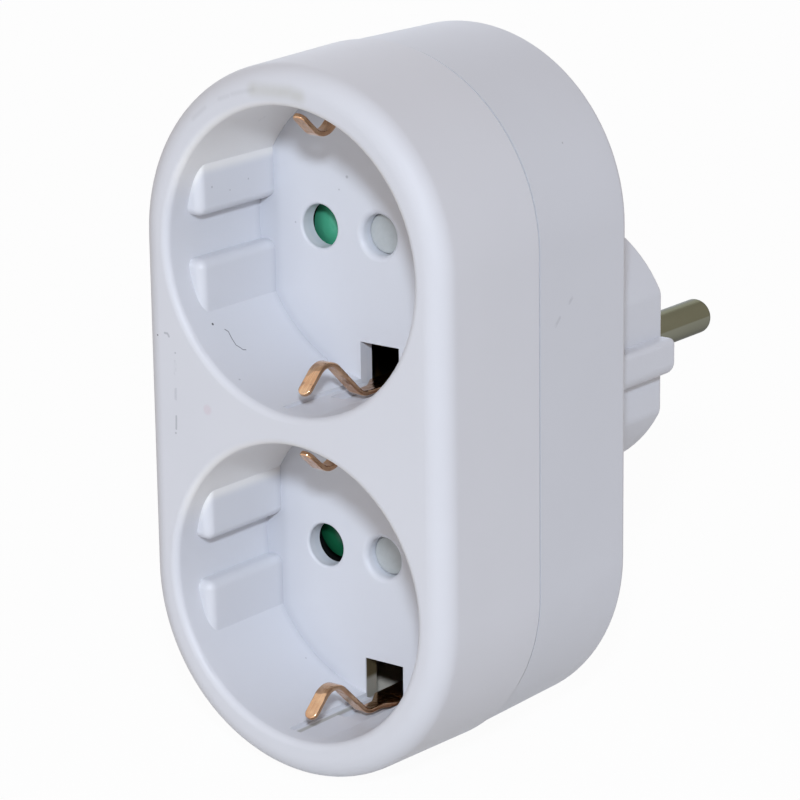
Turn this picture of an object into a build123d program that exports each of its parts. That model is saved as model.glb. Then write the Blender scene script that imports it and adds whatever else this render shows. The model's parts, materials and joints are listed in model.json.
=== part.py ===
from build123d import *
import os
from math import atan, cos, degrees, radians, sin

# A plug-in adapter with two recessed earthed sockets, one above the other.
# X points right, Z up and Y into the wall; the origin is the middle of the plug's face.
# Depths are measured from the front face towards the wall.

# Housing
body_width = 48.6
end_spacing = 43.8
body_depth = 39.0
seam_depth = 19.3
seam_gap = 0.3
seam_step = 0.2
seam_rounding = 0.3
cover_narrowing = 0.5
rear_narrowing = 0.25
front_rounding = 3.0
rear_rounding = 1.2
side_wall = 1.8
front_wall = 2.6
back_wall = 1.6
tongue_height = 1.5
tongue_thickness = 0.7
tongue_play = 0.1

# Socket recesses
socket_pitch = 42.7
recess_radius = 19.4
recess_depth = 18.2
recess_wall = 1.5
recess_lip = 1.0
floor_thickness = 2.3
key_flat = 16.9
key_setback = 3.8
key_groove = 5.6
key_rounding = 1.2
slot_width = 6.2
slot_inner = 14.2
slot_outer = 20.6
channel_start = 2.5
channel_outer = 19.65
channel_backing = 1.7
pocket_start = 10.8
pocket_width = 4.4

# Pin holes and the screw in the middle of each recess
pin_spacing = 19.0
pin_hole_radius = 2.85
pin_hole_rounding = 0.4
cap_well_rounding = 0.8
cap_well_depth = 1.7
cap_radius = 2.65
cap_thickness = 1.3
cap_play = 0.05
boss_radius = 4.5
boss_end = 24.3
screw_head_radius = 2.6
screw_head_height = 1.5
screw_radius = 1.3
screw_hole_radius = 1.5
screw_tip = 35.5
driver_slot_width = 0.8
driver_slot_depth = 0.8

# Safety shutters
shutter_clearance = 1.3
hub_running_clearance = 0.1
hub_wall = 1.6
hub_height = 2.0
pad_radius = 3.8
pad_offset = 0.6
pad_thickness = 1.2
arm_width = 4.4
shutter_rest_angle = 5.0
stop_radius = 0.9
stop_gap = 0.2

# Return springs of the shutters
spring_x = 8.6
spring_coil_radius = 1.0
spring_wire_radius = 0.25
spring_turns = 4
spring_seat = 14.6
seat_width = 3.4
seat_thickness = 1.6

# Contact carrier
carrier_front = 24.4
carrier_thickness = 1.4
carrier_radius = 16.6
carrier_bridge_width = 4.0
collar_inner = 3.9
collar_outer = 4.6
collar_length = 2.4

# Contacts and busbars
sleeve_front = 26.2
sleeve_waist = 28.6
sleeve_rear = 35.4
sleeve_mouth_radius = 2.95
sleeve_waist_radius = 2.35
sleeve_bore_radius = 2.55
sleeve_metal = 0.5
sleeve_flange_radius = 3.6
sleeve_slit = 0.6
sleeve_slit_length = 6.0
busbar_front = 34.0
busbar_thickness = 0.9
busbar_width = 7.6
press_play = 0.02

# Plug and pins
plug_length = 19.4
plug_radius = 18.2
plug_flat = 16.25
plug_corner_rounding = 2.5
plug_wall = 3.2
plug_flat_wall = 2.0
plug_face_wall = 3.0
plug_edge_rounding = 0.7
rib_reach = 18.45
rib_rise = 2.2
rib_drop = 2.9
rib_upper_rounding = 0.8
rib_lower_rounding = 1.9
pin_radius = 2.4
pin_reach = 19.0
pin_tip_rounding = 0.9
pin_collar_radius = 2.5
shank_radius = 1.9
shank_front = 33.2
rivet_head_radius = 2.7
pin_boss_radius = 3.9
pin_boss_front = 37.0

# Earth strips
strip_thickness = 0.8
strip_width = 3.0
yoke_thickness = 0.65
yoke_width = 5.0
yoke_base = 33.4
yoke_reach = 19.9
clip_valley = 13.6
clip_crest_depth = 7.0
clip_crest_above = 14.7
clip_crest_below = 13.65
clip_tip_depth = 2.9
clip_tip_above = 18.3
clip_tip_below = 17.5
clip_bends = [1.2, 3.0, 2.4]
clip_width = 1.9
clip_tip_rounding = 0.9
clip_edge_rounding = 0.2
shoulder_start = 16.6
shoulder_end = 19.2
shoulder_rounding = 1.0
eye_radius = 4.4
post_radius = 2.9
post_play = 0.2
plug_strip_reach = 16.8
plug_strip_end = 56.6
window_width = 6.8
window_start = 44.5
window_floor = 15.95
earth_rivet_radius = 1.2
earth_rivet_head_radius = 2.0
earth_rivet_head = 0.6
earth_rivet_z = 11.5

# Barrier ribs between the live strips and the earth strips
barrier_x = 5.2
barrier_thickness = 0.8
barrier_start = 17.2
barrier_end = 36.0
barrier_front = 29.0

front_y = -(body_depth + plug_length)
sockets = {"upper": socket_pitch / 2, "lower": -socket_pitch / 2}
sides = {"left": -pin_spacing / 2, "right": pin_spacing / 2}
socket_points = [(0, z) for z in sockets.values()]
pin_hole_points = [(x, z) for x in sides.values() for z in sockets.values()]
floor_back = recess_depth + floor_thickness
carrier_back = carrier_front + carrier_thickness
back_inside = body_depth - back_wall
plug_end = body_depth + plug_length
inside_width = body_width - 2 * side_wall
opening_sense = {"upper": 1, "lower": -1}
pad_orbit = pin_spacing / 2 + pad_offset
pad_rest_x = pad_orbit * cos(radians(shutter_rest_angle))
pad_rest_z = pad_orbit * sin(radians(shutter_rest_angle))
pad_front = floor_back + shutter_clearance
pad_back = pad_front + hub_height


def layer(depth, x=0.0, z=0.0, turn=0.0):
    """Plane facing the viewer at a depth behind the front face, turned about its own normal."""
    across = (cos(radians(turn)), 0, sin(radians(turn)))
    return Plane(origin=(x, front_y + depth, z), x_dir=across, z_dir=(0, -1, 0))


def depth_profile(x, z):
    """Plane whose first axis runs across and whose second runs with the depth, on a line through (x, z)."""
    return Plane(origin=(x, front_y, z), x_dir=(1, 0, 0), z_dir=(0, 0, 1))


def depth_axis(x, z):
    """Line along the depth through (x, z)."""
    return Axis((x, front_y, z), (0, 1, 0))


def stadium(width, mode=Mode.ADD):
    """Upright outline with round ends, in the sketch being built."""
    SlotCenterToCenter(end_spacing, width, rotation=90, mode=mode)


def near(first, second):
    """True where two sizes agree to a hundredth of a millimetre."""
    return abs(first - second) < 0.01


def rims(piece, depth, radius):
    """Round edges of a piece at a depth and of a radius."""
    circles = piece.edges().filter_by(GeomType.CIRCLE)
    return [edge for edge in circles if near(edge.center().Y, front_y + depth) and near(edge.radius, radius)]


def softened_on_key(edge):
    """True for the front edges of the side keys and the long edges of their grooves."""
    middle = edge.center()
    at_front = near(middle.Y, front_y + key_setback) and abs(middle.X) > key_flat - key_setback
    at_groove = any(near(abs(middle.Z - z), key_groove / 2) for z in sockets.values())
    return at_front or (at_groove and near(abs(middle.X), key_flat))


def finish(piece, name):
    """Name a finished piece and write it."""
    piece.part.label = name
    export_step(piece.part, f"parts/{name}.step")


os.makedirs("parts", exist_ok=True)

# Front cover: drafted shell with two recesses
cover_draft = degrees(atan(cover_narrowing / seam_depth))
with BuildPart() as front_cover:
    with BuildSketch(layer(seam_depth)):
        stadium(body_width)
    extrude(amount=seam_depth, taper=cover_draft)
    fillet(front_cover.faces().sort_by(Axis.Y)[0].edges(), front_rounding)
    fillet(front_cover.faces().sort_by(Axis.Y)[-1].edges(), seam_rounding)

    # Cored out between the side wall and the two recess tubes
    with BuildSketch(layer(seam_depth)):
        stadium(inside_width)
        with Locations(*socket_points):
            Circle(recess_radius + recess_wall, mode=Mode.SUBTRACT)
            Rectangle(slot_width + 2 * channel_backing, body_width, mode=Mode.SUBTRACT)
    extrude(amount=seam_depth - front_wall, taper=cover_draft, mode=Mode.SUBTRACT)

    # Rebate that takes the rear housing's tongue
    with BuildSketch(layer(seam_depth)):
        stadium(inside_width + 2 * (tongue_thickness + tongue_play))
        stadium(inside_width, mode=Mode.SUBTRACT)
    extrude(amount=tongue_height + tongue_play, mode=Mode.SUBTRACT)

    # Recesses and their floors, which reach back past the seam
    with BuildSketch(layer(seam_depth)):
        with Locations(*socket_points):
            Circle(recess_radius + recess_wall)
    extrude(amount=-(floor_back - seam_depth))
    with BuildSketch(layer(0)):
        with Locations(*socket_points):
            Circle(recess_radius)
    extrude(amount=-recess_depth, mode=Mode.SUBTRACT)
    fillet(rims(front_cover, 0, recess_radius), recess_lip)

    # Side keys with the groove that steers a plug's ribs
    with BuildSketch(layer(key_setback)):
        for center in socket_points:
            with Locations(center):
                with BuildSketch(mode=Mode.PRIVATE) as key_pair:
                    Circle(recess_radius + recess_wall / 2)
                    Rectangle(2 * key_flat, body_width, mode=Mode.SUBTRACT)
                    Rectangle(body_width, key_groove, mode=Mode.SUBTRACT)
                add(key_pair.sketch)
    extrude(amount=-(recess_depth - key_setback))
    fillet(front_cover.edges().filter_by(GeomType.LINE).filter_by(softened_on_key), key_rounding)

    # Shallow channels in the recess walls for the earth strips, with a deeper pocket at the floor
    with BuildSketch(layer(channel_start)):
        with Locations(*socket_points):
            Rectangle(slot_width, 2 * channel_outer)
            Rectangle(slot_width, 2 * slot_inner, mode=Mode.SUBTRACT)
    extrude(amount=-(recess_depth - channel_start), mode=Mode.SUBTRACT)
    with BuildSketch(layer(pocket_start)):
        with Locations(*socket_points):
            Rectangle(pocket_width, 2 * slot_outer)
            Rectangle(pocket_width, 2 * slot_inner, mode=Mode.SUBTRACT)
    extrude(amount=-(recess_depth - pocket_start), mode=Mode.SUBTRACT)

    # Slots in the floors that the earth strips come through
    with BuildSketch(layer(recess_depth)):
        with Locations(*socket_points):
            Rectangle(slot_width, 2 * slot_outer)
            Rectangle(slot_width, 2 * slot_inner, mode=Mode.SUBTRACT)
    extrude(amount=-floor_thickness, mode=Mode.SUBTRACT)

    # Hollow screw bosses, which the shutters turn on
    with BuildSketch(layer(floor_back)):
        with Locations(*socket_points):
            Circle(boss_radius)
    extrude(amount=-(boss_end - floor_back))
    with BuildSketch(layer(recess_depth)):
        with Locations(*socket_points):
            Circle(cap_radius + cap_play)
    extrude(amount=-(cap_well_depth + cap_thickness + screw_head_height), mode=Mode.SUBTRACT)
    with BuildSketch(layer(recess_depth)):
        with Locations(*socket_points):
            Circle(screw_hole_radius)
    extrude(amount=-(boss_end - recess_depth), mode=Mode.SUBTRACT)

    # Spring seats and shutter stops behind the floors
    stop_reach = pad_rest_z - pad_radius - stop_gap - stop_radius
    with BuildSketch(layer(floor_back)):
        for level, z in sockets.items():
            sense = opening_sense[level]
            with Locations((spring_x, z + sense * (spring_seat + seat_thickness / 2))):
                Rectangle(seat_width, seat_thickness)
            with Locations((pad_orbit, z + sense * stop_reach)):
                Circle(stop_radius)
    extrude(amount=-(pad_back - floor_back))

    # Pin holes
    with BuildSketch(layer(recess_depth)):
        with Locations(*pin_hole_points):
            Circle(pin_hole_radius)
    extrude(amount=-floor_thickness, mode=Mode.SUBTRACT)

    # Softened rims of the holes in the floors
    fillet(rims(front_cover, recess_depth, pin_hole_radius), pin_hole_rounding)
    fillet(rims(front_cover, recess_depth, cap_radius + cap_play), cap_well_rounding)
finish(front_cover, "front_cover")

# Rear housing: drafted shell with the plug on its back
rear_height = body_depth - seam_depth - seam_gap
rear_width = body_width - 2 * seam_step
rear_draft = degrees(atan(rear_narrowing / rear_height))
with BuildPart() as rear_housing:
    with BuildSketch(layer(seam_depth + seam_gap)):
        stadium(rear_width)
    extrude(amount=-rear_height, taper=rear_draft)
    fillet(rear_housing.faces().sort_by(Axis.Y)[-1].edges(), rear_rounding)

    # Plug body with flat sides and a rib on each
    with BuildSketch(layer(body_depth)) as plug_outline:
        Circle(plug_radius)
        Rectangle(2 * plug_flat, 2 * plug_radius, mode=Mode.INTERSECT)
        fillet(plug_outline.vertices(), plug_corner_rounding)
        with Locations((0, (rib_rise - rib_drop) / 2)):
            Rectangle(2 * rib_reach, rib_rise + rib_drop)
        for height, rounding in ((rib_rise, rib_upper_rounding), (-rib_drop, rib_lower_rounding)):
            corners = [c for c in plug_outline.vertices() if near(abs(c.X), rib_reach) and near(c.Y, height)]
            fillet(corners, rounding)
    extrude(amount=-plug_length)
    fillet(rear_housing.faces().sort_by(Axis.Y)[-1].edges(), plug_edge_rounding)

    # Hollow housing and hollow plug
    with BuildSketch(layer(seam_depth + seam_gap)):
        stadium(inside_width)
    extrude(amount=-(back_inside - seam_depth - seam_gap), mode=Mode.SUBTRACT)
    with BuildSketch(layer(back_inside)):
        Circle(plug_radius - plug_wall)
        Rectangle(2 * (plug_flat - plug_flat_wall), 2 * plug_radius, mode=Mode.INTERSECT)
    extrude(amount=-(plug_end - plug_face_wall - back_inside), mode=Mode.SUBTRACT)

    # Tongue that seats in the front cover's rebate
    with BuildSketch(layer(seam_depth + seam_gap)):
        stadium(inside_width + 2 * tongue_thickness)
        stadium(inside_width, mode=Mode.SUBTRACT)
    extrude(amount=tongue_height + seam_gap)

    # Screw posts
    with BuildSketch(layer(back_inside)):
        with Locations(*socket_points):
            Circle(post_radius)
    extrude(amount=back_inside - carrier_back)

    # Barrier ribs beside each row of live contacts
    barrier_length = barrier_end - barrier_start
    barrier_z = (barrier_start + barrier_end) / 2
    with BuildSketch(layer(back_inside)):
        with Locations(*[(x, z) for x in (-barrier_x, barrier_x) for z in (-barrier_z, barrier_z)]):
            Rectangle(barrier_thickness, barrier_length)
    extrude(amount=back_inside - barrier_front)

    # Bosses in the plug that carry the pins
    with BuildSketch(layer(plug_end - plug_face_wall)):
        with Locations(*[(x, 0) for x in sides.values()]):
            Circle(pin_boss_radius)
    extrude(amount=plug_end - plug_face_wall - pin_boss_front)

    # Windows in the top and bottom of the plug for its earth contacts
    window_middle = (window_floor + plug_radius + plug_wall) / 2
    window_height = plug_radius + plug_wall - window_floor
    with BuildSketch(layer(window_start)):
        with Locations((0, window_middle), (0, -window_middle)):
            Rectangle(window_width, window_height)
    extrude(amount=-(plug_end - window_start), mode=Mode.SUBTRACT)
    with BuildSketch(layer(back_inside)):
        with Locations((0, plug_strip_reach - strip_thickness / 2), (0, strip_thickness / 2 - plug_strip_reach)):
            Rectangle(strip_width + 2 * post_play, strip_thickness + 2 * post_play)
    extrude(amount=-(window_start - back_inside), mode=Mode.SUBTRACT)

    # Pilot holes for the screws and holes for the pins
    with BuildSketch(layer(carrier_back)):
        with Locations(*socket_points):
            Circle(screw_radius + press_play)
    extrude(amount=-(screw_tip - carrier_back), mode=Mode.SUBTRACT)
    with BuildSketch(layer(pin_boss_front)):
        with Locations(*[(x, 0) for x in sides.values()]):
            Circle(shank_radius + press_play)
    extrude(amount=-(plug_end - pin_boss_front), mode=Mode.SUBTRACT)
    with BuildSketch(layer(plug_end)):
        with Locations(*[(x, 0) for x in sides.values()]):
            Circle(pin_collar_radius + press_play)
    extrude(amount=plug_face_wall, mode=Mode.SUBTRACT)
finish(rear_housing, "rear_housing")

# Shutters: a hub on the screw boss with a domed pad over each pin hole
hub_bore = boss_radius + hub_running_clearance
for level, z in sockets.items():
    sense = opening_sense[level]
    turn = shutter_rest_angle * sense
    with BuildPart() as shutter:
        with BuildSketch(layer(pad_back, z=z, turn=turn)):
            Rectangle(2 * pad_orbit, arm_width)
            with Locations((-pad_orbit, 0), (pad_orbit, 0)):
                Circle(pad_radius)
        extrude(amount=pad_thickness)
        for way in (-1, 1):
            pad_x = way * pad_rest_x
            pad_z = z + way * sense * pad_rest_z
            with BuildSketch(depth_profile(pad_x, pad_z)):
                with BuildLine():
                    rim = (pad_radius, pad_back - pad_thickness)
                    Polyline((0, pad_front), (0, pad_back - pad_thickness), rim)
                    TangentArc((0, pad_front), rim, tangent=(1, 0))
                make_face()
            revolve(axis=depth_axis(pad_x, pad_z))
        with BuildSketch(layer(pad_back, z=z)):
            Circle(hub_bore + hub_wall)
        extrude(amount=hub_height)
        with BuildSketch(layer(pad_back, z=z)):
            Circle(hub_bore)
        extrude(amount=hub_height, mode=Mode.SUBTRACT)
    finish(shutter, f"{level}_shutter")

# Return springs, standing between the right-hand pad and a seat on the cover
spring_foot = pad_rest_z + pad_radius + stop_gap
spring_length = spring_seat - spring_foot - 2 * spring_wire_radius
spring_depth = (pad_front + pad_back) / 2
for level, z in sockets.items():
    sense = opening_sense[level]
    start = (spring_x, front_y + spring_depth, z + sense * (spring_foot + spring_wire_radius))
    with BuildPart() as spring:
        with BuildLine():
            coil = Helix(
                pitch=spring_length / spring_turns,
                height=spring_length,
                radius=spring_coil_radius,
                center=start,
                direction=(0, 0, sense),
            )
        with BuildSketch(Plane(origin=coil @ 0, z_dir=coil % 0)):
            Circle(spring_wire_radius)
        sweep(path=coil, is_frenet=True)
    finish(spring, f"{level}_shutter_spring")

# Screws and the caps over them
cap_front = recess_depth + cap_well_depth
head_front = cap_front + cap_thickness
head_back = head_front + screw_head_height
for level, z in sockets.items():
    with BuildPart() as screw_cap:
        with BuildSketch(layer(head_front, z=z)):
            Circle(cap_radius)
        extrude(amount=cap_thickness)
        fillet(screw_cap.faces().sort_by(Axis.Y)[0].edges(), cap_thickness / 4)
    finish(screw_cap, f"{level}_screw_cap")

    with BuildPart() as screw:
        with BuildSketch(layer(head_back, z=z)):
            Circle(screw_head_radius)
        extrude(amount=screw_head_height)
        with BuildSketch(layer(head_back, z=z)):
            Circle(screw_radius)
        extrude(amount=-(screw_tip - head_back))
        chamfer(screw.faces().sort_by(Axis.Y)[-1].edges(), screw_radius / 2)
        with BuildSketch(layer(head_front, z=z)):
            Rectangle(screw_head_radius, driver_slot_width)
            Rectangle(driver_slot_width, screw_head_radius)
        extrude(amount=-driver_slot_depth, mode=Mode.SUBTRACT)
    finish(screw, f"{level}_screw")

# Contact carrier: insulating plate with a collar round each contact's mouth
with BuildPart() as contact_carrier:
    with BuildSketch(layer(carrier_front)):
        with Locations(*socket_points):
            Circle(carrier_radius)
        with Locations(*[(x, 0) for x in sides.values()]):
            Rectangle(carrier_bridge_width, socket_pitch - carrier_radius)
    extrude(amount=-carrier_thickness)
    with BuildSketch(layer(carrier_back)):
        with Locations(*pin_hole_points):
            Circle(collar_outer)
    extrude(amount=-collar_length)
    with BuildSketch(layer(carrier_back)):
        with Locations(*pin_hole_points):
            Circle(collar_inner)
    extrude(amount=-collar_length, mode=Mode.SUBTRACT)
    with BuildSketch(layer(carrier_front)):
        with Locations(*pin_hole_points):
            Circle(sleeve_mouth_radius)
        with Locations(*socket_points):
            Circle(screw_hole_radius)
    extrude(amount=-carrier_thickness, mode=Mode.SUBTRACT)
finish(contact_carrier, "contact_carrier")

# Contacts: slit sleeves, waisted to grip a pin and flared at the mouth
for level, z in sockets.items():
    for side, x in sides.items():
        with BuildPart() as contact:
            with BuildSketch(depth_profile(x, z)):
                with BuildLine():
                    Polyline(
                        (sleeve_mouth_radius, sleeve_front),
                        (sleeve_waist_radius, sleeve_waist),
                        (sleeve_bore_radius, sleeve_front + sleeve_slit_length),
                        (sleeve_bore_radius, sleeve_rear),
                        (sleeve_bore_radius + sleeve_metal, sleeve_rear),
                        (sleeve_bore_radius + sleeve_metal, busbar_front),
                        (sleeve_flange_radius, busbar_front),
                        (sleeve_flange_radius, busbar_front - sleeve_metal),
                        (sleeve_bore_radius + sleeve_metal, busbar_front - sleeve_metal),
                        (sleeve_bore_radius + sleeve_metal, sleeve_front + sleeve_slit_length),
                        (sleeve_waist_radius + sleeve_metal, sleeve_waist),
                        (sleeve_mouth_radius + sleeve_metal, sleeve_front),
                        close=True,
                    )
                make_face()
            revolve(axis=depth_axis(x, z))
            with BuildSketch(layer(sleeve_front, x=x, z=z)):
                Rectangle(3 * sleeve_mouth_radius, sleeve_slit)
                Rectangle(sleeve_slit, 3 * sleeve_mouth_radius)
            extrude(amount=-sleeve_slit_length, mode=Mode.SUBTRACT)
        finish(contact, f"{level}_{side}_contact")

# Busbars: one strip on each side, pierced for its contacts and its plug pin
for side, x in sides.items():
    with BuildPart() as busbar:
        with BuildSketch(layer(busbar_front, x=x)):
            SlotCenterToCenter(socket_pitch, busbar_width, rotation=90)
            with Locations(*socket_points):
                Circle(sleeve_bore_radius + sleeve_metal + press_play, mode=Mode.SUBTRACT)
            Circle(shank_radius + press_play, mode=Mode.SUBTRACT)
        extrude(amount=-busbar_thickness)
    finish(busbar, f"{side}_busbar")

    with BuildPart() as pin:
        with BuildSketch(depth_profile(x, 0)):
            with BuildLine():
                Polyline(
                    (0, shank_front),
                    (rivet_head_radius, shank_front),
                    (rivet_head_radius, busbar_front),
                    (shank_radius, busbar_front),
                    (shank_radius, plug_end - plug_face_wall),
                    (pin_collar_radius, plug_end - plug_face_wall),
                    (pin_collar_radius, plug_end),
                    (pin_radius, plug_end),
                    (pin_radius, plug_end + pin_reach),
                    (0, plug_end + pin_reach),
                    close=True,
                )
            make_face()
        revolve(axis=depth_axis(x, 0))
        fillet(pin.edges().filter_by(GeomType.CIRCLE).sort_by(Axis.Y)[-1], pin_tip_rounding)
    finish(pin, f"{side}_pin")

# Earth yokes: one strip per socket, bent forward at both ends into sprung clips
strip_plane = Plane(origin=(0, front_y, 0), x_dir=(0, 1, 0), z_dir=(1, 0, 0))
for level, z in sockets.items():
    with BuildPart() as yoke:
        with BuildSketch(Plane(origin=(0, front_y, z), x_dir=(0, 1, 0), z_dir=(1, 0, 0))):
            with BuildLine():
                FilletPolyline(
                    (clip_tip_depth, -clip_tip_below),
                    (clip_crest_depth, -clip_crest_below),
                    (clip_valley, -yoke_reach),
                    (yoke_base, -yoke_reach),
                    (yoke_base, yoke_reach),
                    (clip_valley, yoke_reach),
                    (clip_crest_depth, clip_crest_above),
                    (clip_tip_depth, clip_tip_above),
                    radius=clip_bends[::-1] + clip_bends,
                )
                offset(amount=yoke_thickness, side=Side.LEFT)
            make_face()
        extrude(amount=yoke_width / 2, both=True)

        # Narrowed from its full width behind the floor to the two clips
        with BuildSketch(depth_profile(0, z)):
            with BuildLine():
                flank = FilletPolyline(
                    (clip_width / 2, 0),
                    (clip_width / 2, shoulder_start),
                    (yoke_width / 2, shoulder_end),
                    (yoke_width / 2, yoke_base),
                    radius=shoulder_rounding,
                )
                Polyline(flank @ 1, (0, yoke_base), (0, 0), flank @ 0)
            make_face()
            mirror(about=Plane.YZ)
        extrude(amount=body_width, both=True, mode=Mode.INTERSECT)
        ends = yoke.edges().filter_by(lambda edge: near(edge.length, yoke_thickness))
        fillet(ends.filter_by(lambda edge: edge.center().Y < front_y + clip_crest_depth), clip_tip_rounding)
        fillet(yoke.faces().filter_by(Axis.X).edges(), clip_edge_rounding)

        # Eye round the screw post and a rivet hole
        with BuildSketch(layer(yoke_base, z=z)):
            Circle(eye_radius)
        extrude(amount=yoke_thickness)
        with BuildSketch(layer(yoke_base)):
            with Locations((0, z)):
                Circle(post_radius + post_play)
            with Locations((0, opening_sense[level] * earth_rivet_z)):
                Circle(earth_rivet_radius + press_play)
        extrude(amount=yoke_thickness, mode=Mode.SUBTRACT)
    finish(yoke, f"{level}_earth_yoke")

# Plug earth yoke: lies on the backs of both socket yokes and ends in the plug's earth contacts
with BuildPart() as plug_earth_yoke:
    with BuildSketch(strip_plane):
        with BuildLine():
            FilletPolyline(
                (plug_strip_end, -plug_strip_reach),
                (yoke_base, -plug_strip_reach),
                (yoke_base, plug_strip_reach),
                (plug_strip_end, plug_strip_reach),
                radius=clip_bends[0],
            )
            offset(amount=strip_thickness, side=Side.RIGHT)
        make_face()
    extrude(amount=strip_width / 2, both=True)
    with BuildSketch(layer(yoke_base)):
        with Locations((0, earth_rivet_z), (0, -earth_rivet_z)):
            Circle(earth_rivet_radius + press_play)
    extrude(amount=-strip_thickness, mode=Mode.SUBTRACT)
finish(plug_earth_yoke, "plug_earth_yoke")

# Rivets through the stacked earth strips
rivet_front = yoke_base - yoke_thickness
rivet_back = yoke_base + strip_thickness
with BuildPart() as earth_rivets:
    for rivet_z in (earth_rivet_z, -earth_rivet_z):
        with BuildSketch(layer(rivet_front, z=rivet_z)):
            Circle(earth_rivet_head_radius)
        extrude(amount=earth_rivet_head)
        with BuildSketch(layer(rivet_front, z=rivet_z)):
            Circle(earth_rivet_radius)
        extrude(amount=-(rivet_back - rivet_front))
        with BuildSketch(layer(rivet_back, z=rivet_z)):
            Circle(earth_rivet_head_radius)
        extrude(amount=-earth_rivet_head)
finish(earth_rivets, "earth_rivets")
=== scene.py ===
import bmesh
import bpy
import json
from math import cos, pi, radians, sin
from mathutils import Matrix, Vector

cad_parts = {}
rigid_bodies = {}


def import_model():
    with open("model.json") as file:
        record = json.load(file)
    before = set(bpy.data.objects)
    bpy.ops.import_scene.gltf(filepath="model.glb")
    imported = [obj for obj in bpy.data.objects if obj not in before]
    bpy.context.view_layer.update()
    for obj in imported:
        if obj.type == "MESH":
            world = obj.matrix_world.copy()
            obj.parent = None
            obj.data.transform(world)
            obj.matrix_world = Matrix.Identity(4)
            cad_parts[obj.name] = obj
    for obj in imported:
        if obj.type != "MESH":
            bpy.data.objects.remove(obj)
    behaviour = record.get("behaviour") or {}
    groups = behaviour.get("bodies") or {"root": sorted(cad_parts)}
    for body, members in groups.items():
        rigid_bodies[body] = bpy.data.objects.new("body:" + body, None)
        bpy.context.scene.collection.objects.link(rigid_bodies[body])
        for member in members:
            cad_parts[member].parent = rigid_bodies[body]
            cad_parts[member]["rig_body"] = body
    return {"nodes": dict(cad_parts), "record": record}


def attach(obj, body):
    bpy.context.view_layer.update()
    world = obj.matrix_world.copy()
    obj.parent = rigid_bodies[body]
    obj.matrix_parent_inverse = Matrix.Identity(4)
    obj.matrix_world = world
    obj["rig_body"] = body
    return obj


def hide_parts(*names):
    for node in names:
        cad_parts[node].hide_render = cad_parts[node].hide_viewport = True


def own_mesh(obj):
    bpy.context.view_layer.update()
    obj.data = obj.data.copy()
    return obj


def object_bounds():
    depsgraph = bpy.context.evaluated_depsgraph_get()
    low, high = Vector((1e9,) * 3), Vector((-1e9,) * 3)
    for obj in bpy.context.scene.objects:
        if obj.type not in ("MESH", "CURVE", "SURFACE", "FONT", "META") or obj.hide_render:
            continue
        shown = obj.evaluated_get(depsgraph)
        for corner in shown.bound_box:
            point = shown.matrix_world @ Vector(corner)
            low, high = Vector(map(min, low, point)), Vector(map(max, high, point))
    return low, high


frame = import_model()
cad_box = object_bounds()

MM = 0.001
WHITE = (1.0, 1.0, 1.0, 1.0)

# Camera, from the photograph's viewing angle
CAMERA_AZIMUTH = 38.013
CAMERA_ELEVATION = 15.855
CAMERA_ROLL = -0.748
CAMERA_DISTANCE = 454.22 * MM
CAMERA_LENS = 160.33
CAMERA_NEAR = 10 * MM
CAMERA_TARGET = Vector((1.775, -38.4, -0.21)) * MM

# Studio light: a small lamp just above the camera, weak wide ones in front and behind,
# and a pale room all round
KEY_LAMP = {
    "azimuth": 37.5, "elevation": 26.2, "distance": 0.52, "size": 0.045,
    "power": 6.45, "tint": (0.896, 1.0, 1.146),
}
FILL_LAMP = {
    "azimuth": 5.0, "elevation": 3.0, "distance": 1.2, "size": 0.8,
    "power": 1.6, "tint": (0.97, 1.0, 0.97),
}
BACK_LAMP = {
    "azimuth": 218.0, "elevation": 20.0, "distance": 1.6, "size": 1.2,
    "power": 7.0, "tint": (0.88, 1.0, 1.185),
}
ROOM_LIGHT = (0.364, 0.308, 0.272, 1.0)
FLOOR_TONE = (0.8, 0.8, 0.79, 1.0)
FLOOR_SIZE = 6.0
FLOOR_WHITENESS = 0.96

# Shading of smooth faces
CREASE_ANGLE = 28.0
WELD_DISTANCE = 0.002 * MM

# Return springs of the shutters, at rest
SPRING_X = 8.6 * MM
SPRING_Y = -35.6 * MM
SPRING_FOOT = 4.88 * MM
SPRING_SEAT = 14.6 * MM
SPRING_COIL_RADIUS = 1.0 * MM
SPRING_WIRE_RADIUS = 0.25 * MM
SPRING_TURNS = 4.0
STEPS_PER_TURN = 28
WIRE_SIDES = 12

# Where things are in the housing, as the CAD model has them
SOCKET_HEIGHT = 21.35 * MM
SEAM_Y = -38.95 * MM
LIP_START = 20.4 * MM
LIP_END = 19.2 * MM
RECESS_RADIUS = 19.4 * MM
RECESS_FLOOR = -40.2 * MM
KEY_FACE = 16.9 * MM
SLOT_SIDE = 3.1 * MM
SLOT_TOP = -34.0 * MM
SLOT_FOOT = -41.2 * MM
END_HEIGHT = 21.9 * MM
INSIDE_RADIUS = 23.2 * MM
INSIDE_FRONT = -37.4 * MM
INSIDE_BACK = -20.4 * MM

# Where the painted light and shade on the plastics and on the pins change, and how softly
EDGE = 0.1 * MM
PALE_FADE = 2 * MM
HOUSING_PALE_BELOW = -25.0 * MM
CARRIER_PALE_BELOW = -33.0 * MM
WALL_LIGHT_START = 4 * MM
WALL_LIGHT_FULL = 11 * MM
SLOT_SHADE_END = -38.5 * MM
PIN_REFLECTION_EDGE = 0.36 * MM

# Painted shade along the left-hand corner of each recess: how far it reaches and how strong it is
CORNER_SHADE_START = -4 * MM
CORNER_SHADE_FULL = -9 * MM
CORNER_SHADE_FLOOR_REACH = 6.5 * MM
CORNER_SHADE_FLOOR = 0.12
CORNER_SHADE_EDGE_REACH = 1.5 * MM
CORNER_SHADE_EDGE = 0.09
CORNER_SHADE_WALL_REACH = 1.2 * MM
CORNER_SHADE_WALL = 0.1

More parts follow.
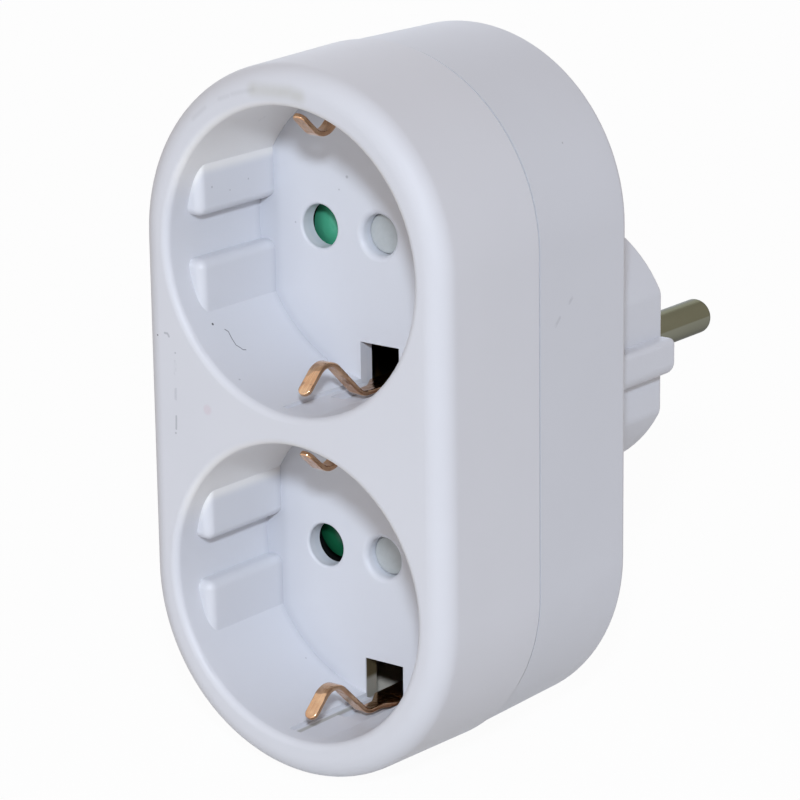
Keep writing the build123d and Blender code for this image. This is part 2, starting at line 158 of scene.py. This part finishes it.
# Marks on the white plastic, as points and radii in millimetres
HAIR = (
    (-15.35, -52.3, 9.5), (-15.1, -51.93, 9.18), (-14.43, -52.06, 8.4), (-13.72, -52.1, 7.65),
    (-13.36, -51.72, 7.29), (-13.07, -51.52, 7.02), (-12.98, -51.1, 6.93),
)
HAIR_RADIUS = 0.1
HAIR_STRENGTH = 0.75
BLACK_SPECKS = (
    ((-16.02, -53.85, 10.42), 0.23), ((-21.35, -58.36, 9.17), 0.15),
)
BLACK_STRENGTH = 0.95
GREY_SPECKS = (
    ((-9.87, -56.08, 4.65), 0.2), ((-18.45, -58.4, 7.28), 0.17), ((-18.75, -58.4, -3.29), 0.2),
    ((-16.9, -52.25, 27.73), 0.2), ((-16.9, -45.18, 27.53), 0.17), ((-16.9, -48.81, 26.72), 0.15),
    ((-4.85, -40.2, 28.35), 0.28), ((-6.16, -40.2, 26.55), 0.16), ((-13.4, -40.2, 21.4), 0.16),
    ((-11.61, -42.11, -36.88), 0.16), ((-16.9, -54.12, -27.46), 0.14), ((20.76, -29.4, 33.88), 0.18),
)
GREY_STRENGTH = 0.42
SCRATCHES = (
    ((-20.11, -58.4, 9.64), (-19.64, -58.4, 9.62), (-19.42, -58.4, 9.28)),
    ((-18.59, -58.4, -1.05), (-18.66, -58.4, -2.72)),
)
SCRATCH_RADIUS = 0.2
SCRATCH_STRENGTH = 0.4
FAINT_SCRATCHES = (
    ((-18.49, -58.4, 6.14), (-18.55, -58.4, 4.57)),
    ((-18.52, -58.4, 2.47), (-18.57, -58.4, 1.26)),
    ((24.06, -35.57, 12.22), (24.05, -34.62, 13.14)),
    ((24.04, -32.5, 14.6), (24.02, -31.9, 15.1)),
    ((-12.75, -47.6, 36.0), (-12.35, -47.2, 36.26)),
)
FAINT_RADIUS = 0.32
FAINT_STRENGTH = 0.3
RIM_SMEAR = (
    (-4.6, -58.4, 42.45), (-1.55, -58.4, 42.54), (1.11, -58.4, 42.64), (2.65, -58.4, 42.32),
)
SMEAR_RADIUS = 1.5
SMEAR_STRENGTH = 0.5
RIM_RUBS = (
    ((-10.05, -58.38, 40.68), (-8.58, -58.38, 41.22)),
    ((-8.0, -58.4, 41.5), (-4.6, -58.4, 42.45)),
    ((-14.38, -58.35, 37.74), (-12.39, -58.35, 39.35)),
)
RUB_RADIUS = 0.5
RUB_STRENGTH = 0.2
BLUSH_PLACE = (-13.33, -58.4, 0.66)
BLUSH_RADIUS = 0.9
BLUSH_STRENGTH = 0.3
CHANNEL_LINE = ((-2.2, -55.6, -41.0), (-2.2, -42.5, -41.0))
CHANNEL_LINE_RADIUS = 0.5
CHANNEL_LINE_STRENGTH = 0.55

# Share of a mark's radius that has its full tone
MARK_CORE = 0.4


class Value:
    """A number that varies over a surface: arithmetic on it adds Math nodes to its tree."""

    def __init__(self, nodes, socket):
        self.nodes = nodes
        self.socket = socket

    def math(self, operation, first, second=0.0):
        return self.nodes.node("ShaderNodeMath", {"operation": operation}, {0: first, 1: second})

    def sign(self):
        return self.math("SIGN", self)

    def __abs__(self):
        return self.math("ABSOLUTE", self)

    def __add__(self, other):
        return self.math("ADD", self, other)

    def __radd__(self, other):
        return self.math("ADD", other, self)

    def __sub__(self, other):
        return self.math("SUBTRACT", self, other)

    def __rsub__(self, other):
        return self.math("SUBTRACT", other, self)

    def __mul__(self, other):
        return self.math("MULTIPLY", self, other)

    def __rmul__(self, other):
        return self.math("MULTIPLY", other, self)

    def __or__(self, other):
        return self.math("MAXIMUM", self, other)

    def __ror__(self, other):
        return self.math("MAXIMUM", other, self)

    def __and__(self, other):
        return self.math("MINIMUM", self, other)

    def __rand__(self, other):
        return self.math("MINIMUM", other, self)


class Nodes:
    """The nodes of a material, a lamp or the room."""

    def __init__(self, tree):
        self.tree = tree

    def put(self, socket, value):
        """Links a value to a socket, or sets the socket to a plain number, colour or vector."""
        if isinstance(value, Value):
            self.tree.links.new(value.socket, socket)
        else:
            socket.default_value = value

    def node(self, kind, settings=None, sockets=None, out=0):
        """Adds a node with its settings, then the values of its sockets, and gives one of its outputs."""
        made = self.tree.nodes.new(kind)
        for name, setting in (settings or {}).items():
            setattr(made, name, setting)
        for key, value in (sockets or {}).items():
            self.put(made.inputs[key], value)
        return Value(self, made.outputs[out])

    def blend(self, share, first, second):
        return self.node("ShaderNodeMix", {"data_type": "RGBA"}, {0: share, 6: first, 7: second}, out=2)

    def any_of(self, masks):
        whole = masks[0]
        for mask in masks[1:]:
            whole = whole | mask
        return whole


class Finish(Nodes):
    """A material and the nodes that give it its look."""

    def __init__(self, name):
        self.material = bpy.data.materials.new(name)
        self.material.use_nodes = True
        super().__init__(self.material.node_tree)
        self.tree.nodes.clear()
        self.output = self.tree.nodes.new("ShaderNodeOutputMaterial")
        self.place = None

    def spot(self):
        """The point being shaded, in the object's own frame."""
        if self.place is None:
            self.place = self.node("ShaderNodeTexCoord", out="Object")
        return self.place

    def along(self, axis):
        """One coordinate of the point: X is across, Y is depth and Z is height."""
        return self.node("ShaderNodeSeparateXYZ", {}, {0: self.spot()}, out=axis)

    def noise(self, size, detail=2.0, rough=0.5, stretch=(1.0, 1.0, 1.0)):
        """Soft random mottling whose patches are about size across, drawn out along stretch."""
        scale = [1.0 / (size * part) for part in stretch]
        placed = self.node("ShaderNodeMapping", {}, {"Vector": self.spot(), "Scale": scale})
        return self.node("ShaderNodeTexNoise", {}, {
            "Vector": placed, "Scale": 1.0, "Detail": detail, "Roughness": rough}, out="Fac")

    def ramp(self, value, low, high):
        """Zero at low and one at high, smooth between."""
        return self.node("ShaderNodeMapRange", {"interpolation_type": "SMOOTHSTEP"}, {
            "Value": value, "From Min": low, "From Max": high})

    def vector(self, operation, *given, out="Vector"):
        return self.node("ShaderNodeVectorMath", {"operation": operation}, dict(enumerate(given)), out)

    def reach(self, across, rise):
        """How far a point is from an axis that runs from front to back."""
        offset = self.node("ShaderNodeCombineXYZ", {}, {"X": across, "Z": rise})
        return self.vector("LENGTH", offset, out="Value")

    def speck(self, point, radius):
        """One at a point in millimetres, fading to zero at the radius."""
        away = self.vector("DISTANCE", self.spot(), Vector(point) * MM, out="Value")
        return self.ramp(away, radius * MM, MARK_CORE * radius * MM)

    def stroke(self, points, radius, core=MARK_CORE):
        """One on a line through points in millimetres, fading from its core to zero at the radius."""
        away = None
        for start, end in zip(points, points[1:]):
            start = Vector(start) * MM
            run = Vector(end) * MM - start
            offset = self.vector("SUBTRACT", self.spot(), start)
            share = self.vector("DOT_PRODUCT", offset, run / run.length_squared, out="Value")
            share = self.node("ShaderNodeClamp", {}, {"Value": share})
            nearest = self.vector("MULTIPLY_ADD", share, run, start)
            gap = self.vector("DISTANCE", self.spot(), nearest, out="Value")
            away = gap if away is None else away & gap
        return self.ramp(away, radius * MM, core * radius * MM)

    def bump(self, height, depth):
        return self.node("ShaderNodeBump", {}, {
            "Height": height, "Distance": depth, "Strength": 1.0}, out="Normal")

    def show(self, shader):
        self.tree.links.new(shader.socket, self.output.inputs["Surface"])
        return self.material

    def shade(self, **sockets):
        named = {name.replace("_", " "): value for name, value in sockets.items()}
        return self.show(self.node("ShaderNodeBsdfPrincipled", {}, named))


def colour(red, green, blue):
    """An sRGB colour in 0 to 255 as linear red, green, blue, alpha."""
    channels = [part / 255 for part in (red, green, blue)]
    linear = [c / 12.92 if c <= 0.04045 else ((c + 0.055) / 1.055) ** 2.4 for c in channels]
    return (*linear, 1.0)


def white_plastic():
    finish = Finish("white_plastic")
    cloud = finish.noise(14 * MM, detail=3.0)
    grain = finish.noise(0.35 * MM)
    smudge = finish.noise(1.6 * MM, detail=4.0, rough=0.6)
    across = finish.along("X")
    depth = finish.along("Y")
    height = finish.along("Z")

    # Satin outside, glossier in the recesses, and painted shade: the rear half a shade darker and cooler,
    # as light falls off towards the back
    from_axis = finish.reach(across, abs(height) - SOCKET_HEIGHT)
    inside = finish.ramp(from_axis, LIP_START, LIP_END) * finish.ramp(depth, SEAM_Y, SEAM_Y - 1 * MM)
    rear = finish.ramp(depth, SEAM_Y - EDGE, SEAM_Y + EDGE)
    front_tone = finish.blend(cloud, colour(210, 211, 216), colour(215, 216, 221))
    rear_shade_tone = finish.blend(cloud, colour(207, 209, 215), colour(212, 214, 220))
    base = finish.blend(rear, front_tone, rear_shade_tone)

    # Painted shade inside the housing: a dark olive tone where shade falls, and painted light towards its
    # lower end, paler and warmer there
    from_end = finish.reach(across, (abs(height) - END_HEIGHT) | 0.0)
    inside_shade = (finish.ramp(from_end, INSIDE_RADIUS, INSIDE_RADIUS - 2 * EDGE)
              * finish.ramp(depth, INSIDE_FRONT - 2 * EDGE, INSIDE_FRONT)
              * finish.ramp(depth, INSIDE_BACK, INSIDE_BACK - 2 * EDGE))
    dark_tone = finish.blend(cloud, colour(84, 78, 60), colour(100, 94, 76))
    pale_tone = finish.blend(cloud, colour(196, 188, 172), colour(208, 201, 188))
    low_end = finish.ramp(height, HOUSING_PALE_BELOW + PALE_FADE, HOUSING_PALE_BELOW)
    base = finish.blend(inside_shade, base, finish.blend(low_end, dark_tone, pale_tone))

    # Painted shade along the left-hand corner of each recess
    to_wall = (from_axis - RECESS_RADIUS) | (abs(across) - KEY_FACE)
    on_floor = finish.ramp(depth, RECESS_FLOOR - EDGE, RECESS_FLOOR - 0.2 * EDGE)
    near_floor = finish.ramp(depth, RECESS_FLOOR - CORNER_SHADE_WALL_REACH, RECESS_FLOOR) * (1.0 - on_floor)
    floor_shade = CORNER_SHADE_FLOOR * finish.ramp(to_wall, -CORNER_SHADE_FLOOR_REACH, 0.0)
    corner_line_shade = CORNER_SHADE_EDGE * finish.ramp(to_wall, -CORNER_SHADE_EDGE_REACH, 0.0)
    corner_shade = on_floor * (floor_shade + corner_line_shade) + CORNER_SHADE_WALL * near_floor
    corner_shade = corner_shade * inside * finish.ramp(across, CORNER_SHADE_START, CORNER_SHADE_FULL)
    base = finish.blend(corner_shade, base, colour(90, 100, 125))

    # Painted light: paler and warmer on the upper walls of the recesses, lifting the shade that falls
    # there
    above_axis = height - SOCKET_HEIGHT * height.sign()
    on_wall = finish.ramp(from_axis, LIP_END - 6 * EDGE, LIP_END) * (1.0 - on_floor) * inside
    wall_light = on_wall * finish.ramp(above_axis, WALL_LIGHT_START, WALL_LIGHT_FULL)
    base = finish.blend(wall_light, base, colour(239, 237, 234))

    # Painted shade in the lowest slot, darker olive in its upper half, and a darker line along the
    # channel in front of it
    in_slot = (finish.ramp(depth, RECESS_FLOOR + EDGE, RECESS_FLOOR + 3 * EDGE)
               * finish.ramp(abs(across), SLOT_SIDE + 2 * EDGE, SLOT_SIDE + EDGE)
               * finish.ramp(depth, INSIDE_FRONT, INSIDE_FRONT - 2 * EDGE)
               * finish.ramp(height, SLOT_TOP + 1 * MM, SLOT_TOP)
               * finish.ramp(height, SLOT_FOOT - 4 * EDGE, SLOT_FOOT))
    slot_upper = finish.ramp(height, SLOT_SHADE_END - 4 * EDGE, SLOT_SHADE_END + 4 * EDGE)
    slot_shade_tone = finish.blend(slot_upper, colour(150, 148, 138), colour(86, 76, 54))
    base = finish.blend(in_slot, base, slot_shade_tone)
    # A darker olive line along the left side of the channel in front of the lowest slot
    channel_line = finish.stroke(CHANNEL_LINE, CHANNEL_LINE_RADIUS)
    base = finish.blend(channel_line * CHANNEL_LINE_STRENGTH, base, colour(140, 138, 120))

    # Rubs, scratches and specks
    smear = finish.stroke(RIM_SMEAR, SMEAR_RADIUS, core=0.0) * (0.5 + 0.5 * smudge)
    rubs = finish.any_of([finish.stroke(line, RUB_RADIUS, core=0.0) for line in RIM_RUBS])
    blush = finish.speck(BLUSH_PLACE, BLUSH_RADIUS)
    faint = finish.any_of([finish.stroke(line, FAINT_RADIUS) for line in FAINT_SCRATCHES])
    faint = faint * finish.ramp(smudge, 0.3, 0.6)
    scratches = finish.any_of([finish.stroke(line, SCRATCH_RADIUS) for line in SCRATCHES])
    grey = finish.any_of([finish.speck(point, radius) for point, radius in GREY_SPECKS])
    black = finish.any_of([finish.speck(point, radius) for point, radius in BLACK_SPECKS])
    hair = finish.stroke(HAIR, HAIR_RADIUS)
    grey_marks = (SCRATCH_STRENGTH * scratches) | (GREY_STRENGTH * grey)
    black_marks = (BLACK_STRENGTH * black) | (HAIR_STRENGTH * hair)
    base = finish.blend(smear * SMEAR_STRENGTH, base, colour(178, 176, 162))
    base = finish.blend(rubs * RUB_STRENGTH, base, colour(170, 171, 174))
    base = finish.blend(blush * BLUSH_STRENGTH, base, colour(205, 178, 188))
    base = finish.blend(faint * FAINT_STRENGTH, base, colour(150, 152, 160))
    base = finish.blend(grey_marks, base, colour(115, 117, 124))
    base = finish.blend(black_marks, base, colour(22, 22, 24))
    return finish.shade(
        Base_Color=base, Specular_IOR_Level=0.35,
        Roughness=0.5 + 0.1 * cloud + 0.05 * grain - 0.16 * inside + 0.1 * smear,
        Normal=finish.bump(grain, 0.006 * MM))


def green_plastic():
    """Glossy, with painted light and shade: a lighter green in the upper socket, where the pad is lit,
    and a darker one in the lower socket, where it lies in shade.
    """
    finish = Finish("green_plastic")
    cloud = finish.noise(3 * MM, detail=3.0)
    upper_painted_tone = finish.blend(cloud, colour(64, 158, 122), colour(86, 180, 144))
    lower_painted_tone = finish.blend(cloud, colour(14, 84, 54), colour(28, 104, 70))
    upper = finish.ramp(finish.along("Z"), -1 * MM, 1 * MM)
    return finish.shade(
        Base_Color=finish.blend(upper, lower_painted_tone, upper_painted_tone), Roughness=0.14 + 0.1 * cloud,
        Normal=finish.bump(finish.noise(0.8 * MM), 0.01 * MM))


def grey_plastic():
    finish = Finish("grey_plastic")
    cloud = finish.noise(1.4 * MM, detail=4.0, rough=0.6)
    base = finish.blend(cloud, colour(162, 166, 166), colour(190, 194, 194))
    return finish.shade(
        Base_Color=base, Roughness=0.4 + 0.2 * cloud,
        Normal=finish.bump(finish.noise(0.3 * MM, detail=3.0), 0.012 * MM))


def carrier_plastic():
    """Black, with painted light at its lower end: olive there, standing in for the warm light inside the
    housing.
    """
    finish = Finish("carrier_plastic")
    cloud = finish.noise(6 * MM, detail=3.0)
    dark_tone = finish.blend(cloud, colour(9, 9, 9), colour(15, 15, 14))
    pale_tone = finish.blend(cloud, colour(124, 104, 72), colour(142, 120, 86))
    low_end = finish.ramp(finish.along("Z"), CARRIER_PALE_BELOW + PALE_FADE, CARRIER_PALE_BELOW)
    return finish.shade(
        Base_Color=finish.blend(low_end, dark_tone, pale_tone), Roughness=0.45 + 0.15 * cloud,
        Normal=finish.bump(finish.noise(0.4 * MM), 0.01 * MM))


def metal(name, dark, light, roughness, rolled, waves=0.0):
    """Rolled or drawn metal: fine streaks along the way it was drawn, clouded tarnish and slow waves."""
    finish = Finish(name)
    tarnish = finish.noise(2.5 * MM, detail=3.0, rough=0.6)
    streaks = finish.noise(0.12 * MM, stretch=rolled)
    base = finish.blend(finish.ramp(0.6 * tarnish + 0.4 * streaks, 0.3, 0.7), dark, light)
    return finish.shade(
        Base_Color=base, Metallic=1.0, Roughness=roughness + 0.12 * tarnish + 0.06 * streaks,
        Normal=finish.bump(0.006 * streaks + waves * finish.noise(1.3 * MM, detail=1.0), MM))


def dull_nickel():
    """Tarnished plating with faint streaks along the pins, and a painted reflection: browner and darker
    on the upper half, lighter grey on the lower half.
    """
    finish = Finish("nickel")
    tarnish = finish.noise(3 * MM, stretch=(1.0, 4.0, 1.0))
    streaks = finish.noise(0.12 * MM, stretch=(1.0, 40.0, 1.0))
    upper_painted_tone = finish.blend(tarnish, colour(104, 101, 82), colour(116, 114, 96))
    lower_painted_tone = finish.blend(tarnish, colour(122, 122, 108), colour(132, 132, 120))
    upper = finish.ramp(finish.along("Z"), PIN_REFLECTION_EDGE - EDGE, PIN_REFLECTION_EDGE + EDGE)
    return finish.shade(
        Base_Color=finish.blend(upper, lower_painted_tone, upper_painted_tone), Metallic=1.0,
        Specular_Tint=colour(165, 165, 168), Roughness=0.24 + 0.06 * tarnish + 0.06 * streaks,
        Normal=finish.bump(streaks, 0.002 * MM))


finishes = {
    "white_plastic": white_plastic(),
    "green_plastic": green_plastic(),
    "grey_plastic": grey_plastic(),
    "carrier_plastic": carrier_plastic(),
    "copper": metal("copper", colour(194, 148, 113), colour(224, 186, 150), roughness=0.08,
                    rolled=(1.0, 30.0, 30.0), waves=0.15),
    "brass": metal("brass", colour(178, 142, 80), colour(212, 182, 118), roughness=0.25,
                   rolled=(1.0, 1.0, 30.0)),
    "nickel": dull_nickel(),
    "steel": metal("steel", colour(150, 152, 155), colour(186, 188, 192), roughness=0.25,
                   rolled=(30.0, 30.0, 1.0)),
}


def add_piece(name, data):
    piece = bpy.data.objects.new(name, data)
    bpy.context.scene.collection.objects.link(piece)
    return piece


def make_plain(piece):
    """Takes the result of the piece's modifiers as its own mesh."""
    shown = bpy.data.meshes.new_from_object(piece.evaluated_get(bpy.context.evaluated_depsgraph_get()))
    piece.modifiers.clear()
    piece.data = shown


def dress(node, slot):
    """A welded, smoothly shaded copy of a CAD node that stands for it."""
    mesh = frame["nodes"][node].data.copy()
    mesh.name = f"{node}_skin"
    shape = bmesh.new()
    shape.from_mesh(mesh)
    bmesh.ops.remove_doubles(shape, verts=shape.verts, dist=WELD_DISTANCE)
    for face in shape.faces:
        face.smooth = True
    for edge in shape.edges:
        edge.smooth = edge.is_manifold and edge.calc_face_angle() < radians(CREASE_ANGLE)
    shape.to_mesh(mesh)
    shape.free()
    mesh.materials.clear()
    mesh.materials.append(finishes[slot])
    piece = add_piece(f"{node}_skin", mesh)
    evened = piece.modifiers.new("even_shading", "WEIGHTED_NORMAL")
    evened.keep_sharp = True
    make_plain(piece)
    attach(piece, frame["nodes"][node]["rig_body"])
    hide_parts(node)


def coil_tree():
    """A wire wound into a coil along Z from its foot, which is at the origin."""
    tree = bpy.data.node_groups.new("return_spring", "GeometryNodeTree")
    face = tree.interface
    face.new_socket("Geometry", in_out="OUTPUT", socket_type="NodeSocketGeometry")
    for name in ("Coil radius", "Wire radius", "Length", "Turns"):
        face.new_socket(name, in_out="INPUT", socket_type="NodeSocketFloat")
    face.new_socket("Finish", in_out="INPUT", socket_type="NodeSocketMaterial")
    given = tree.nodes.new("NodeGroupInput")
    coil = tree.nodes.new("GeometryNodeCurveSpiral")
    coil.inputs["Resolution"].default_value = STEPS_PER_TURN
    wire = tree.nodes.new("GeometryNodeCurvePrimitiveCircle")
    wire.inputs["Resolution"].default_value = WIRE_SIDES
    tube = tree.nodes.new("GeometryNodeCurveToMesh")
    tube.inputs["Fill Caps"].default_value = True
    whole = tree.nodes.new("GeometryNodeRealizeInstances")
    painted = tree.nodes.new("GeometryNodeSetMaterial")
    result = tree.nodes.new("NodeGroupOutput")
    links = (
        (given.outputs["Coil radius"], coil.inputs["Start Radius"]),
        (given.outputs["Coil radius"], coil.inputs["End Radius"]),
        (given.outputs["Length"], coil.inputs["Height"]),
        (given.outputs["Turns"], coil.inputs["Rotations"]),
        (given.outputs["Wire radius"], wire.inputs["Radius"]),
        (coil.outputs["Curve"], tube.inputs["Curve"]),
        (wire.outputs["Curve"], tube.inputs["Profile Curve"]),
        (tube.outputs["Mesh"], whole.inputs["Geometry"]),
        (whole.outputs["Geometry"], painted.inputs["Geometry"]),
        (given.outputs["Finish"], painted.inputs["Material"]),
        (painted.outputs["Geometry"], result.inputs["Geometry"]),
    )
    for start, end in links:
        tree.links.new(start, end)
    return tree


def add_spring(tree, level, sense):
    """The coil between a shutter's pad and its seat."""
    sizes = {
        "Coil radius": SPRING_COIL_RADIUS, "Wire radius": SPRING_WIRE_RADIUS,
        "Length": SPRING_SEAT - SPRING_FOOT - 2 * SPRING_WIRE_RADIUS, "Turns": SPRING_TURNS,
        "Finish": finishes["steel"],
    }
    piece = add_piece(f"{level}_coil", bpy.data.meshes.new(f"{level}_coil"))
    wound = piece.modifiers.new("wound", "NODES")
    wound.node_group = tree
    for socket in tree.interface.items_tree:
        if socket.in_out == "INPUT":
            wound[socket.identifier] = sizes[socket.name]
    make_plain(piece)
    foot = Vector((SPRING_X, SPRING_Y, sense * (SOCKET_HEIGHT + SPRING_FOOT + SPRING_WIRE_RADIUS)))
    turned = Matrix.Rotation(0.0 if sense > 0 else pi, 4, "X")
    piece.data.transform(Matrix.Translation(foot) @ turned)
    piece.data.shade_smooth()
    node = f"{level}_shutter_spring"
    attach(piece, "housing")
    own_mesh(piece)
    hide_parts(node)


def outward(azimuth, elevation):
    """The direction from the object to a point at this azimuth and elevation, in degrees."""
    turn = radians(azimuth)
    rise = radians(elevation)
    return Vector((sin(turn) * cos(rise), -cos(turn) * cos(rise), sin(rise)))


def add_camera():
    back = outward(CAMERA_AZIMUTH, CAMERA_ELEVATION)
    right = (-back).cross(Vector((0, 0, 1))).normalized()
    up = right.cross(-back)
    roll = radians(CAMERA_ROLL)
    rolled_right = right * cos(roll) + up * sin(roll)
    rolled_up = up * cos(roll) - right * sin(roll)
    data = bpy.data.cameras.new("camera")
    data.lens = CAMERA_LENS
    data.clip_start = CAMERA_NEAR
    camera = add_piece("camera", data)
    turned = Matrix((rolled_right, rolled_up, back)).transposed().to_4x4()
    camera.matrix_world = Matrix.Translation(CAMERA_TARGET + back * CAMERA_DISTANCE) @ turned
    bpy.context.scene.camera = camera


def add_lamp(name, azimuth, elevation, distance, size, power, tint):
    place = CAMERA_TARGET + outward(azimuth, elevation) * distance
    data = bpy.data.lights.new(name, "AREA")
    data.shape = "DISK"
    data.size = size
    data.energy = power
    data.color = tint
    lamp = add_piece(name, data)
    lamp.location = place
    lamp.rotation_euler = (CAMERA_TARGET - place).to_track_quat("-Z", "Y").to_euler()
    return data


def keep_even(lamp):
    """Lets a near lamp light the far parts of the object as strongly as the near ones."""
    lamp.use_nodes = True
    nodes = Nodes(lamp.node_tree)
    even = nodes.node("ShaderNodeLightFalloff", {}, {"Strength": 1.0}, out="Constant")
    nodes.put(lamp.node_tree.nodes["Emission"].inputs["Strength"], even)


def seen_directly(nodes):
    """One where the camera, a reflection or clear material looks at the backdrop, else zero."""
    looks = ("Is Camera Ray", "Is Glossy Ray", "Is Transmission Ray")
    return nodes.any_of([nodes.node("ShaderNodeLightPath", out=look) for look in looks])


def add_floor(height):
    """A pale floor, almost white to the eye, that keeps the object's shadow."""
    finish = Finish("studio_floor")
    lit = finish.node("ShaderNodeBsdfDiffuse", {}, {"Color": FLOOR_TONE})
    glow = finish.node("ShaderNodeEmission", {}, {"Color": WHITE, "Strength": 1.0})
    whiteness = seen_directly(finish) * FLOOR_WHITENESS
    finish.show(finish.node("ShaderNodeMixShader", {}, {0: whiteness, 1: lit, 2: glow}))
    mesh = bpy.data.meshes.new("floor")
    half = FLOOR_SIZE / 2
    corners = [(-half, -half, height), (half, -half, height), (half, half, height), (-half, half, height)]
    mesh.from_pydata(corners, [], [(0, 1, 2, 3)])
    mesh.materials.append(finish.material)
    add_piece("floor", mesh)


def add_room():
    """A pale room that looks white."""
    world = bpy.data.worlds.new("studio")
    world.use_nodes = True
    nodes = Nodes(world.node_tree)
    tone = nodes.blend(seen_directly(nodes), ROOM_LIGHT, WHITE)
    nodes.put(world.node_tree.nodes["Background"].inputs["Color"], tone)
    bpy.context.scene.world = world


add_camera()
springs = ("upper_shutter_spring", "lower_shutter_spring")
for part in frame["record"]["subparts"]:
    if part["node"] not in springs:
        dress(part["node"], part["material_slot"])
coil = coil_tree()
add_spring(coil, "upper", 1)
add_spring(coil, "lower", -1)

add_room()
add_floor(cad_box[0].z)
keep_even(add_lamp("key", **KEY_LAMP))
add_lamp("fill", **FILL_LAMP)
add_lamp("back", **BACK_LAMP)
bpy.context.scene.view_settings.view_transform = "Standard"
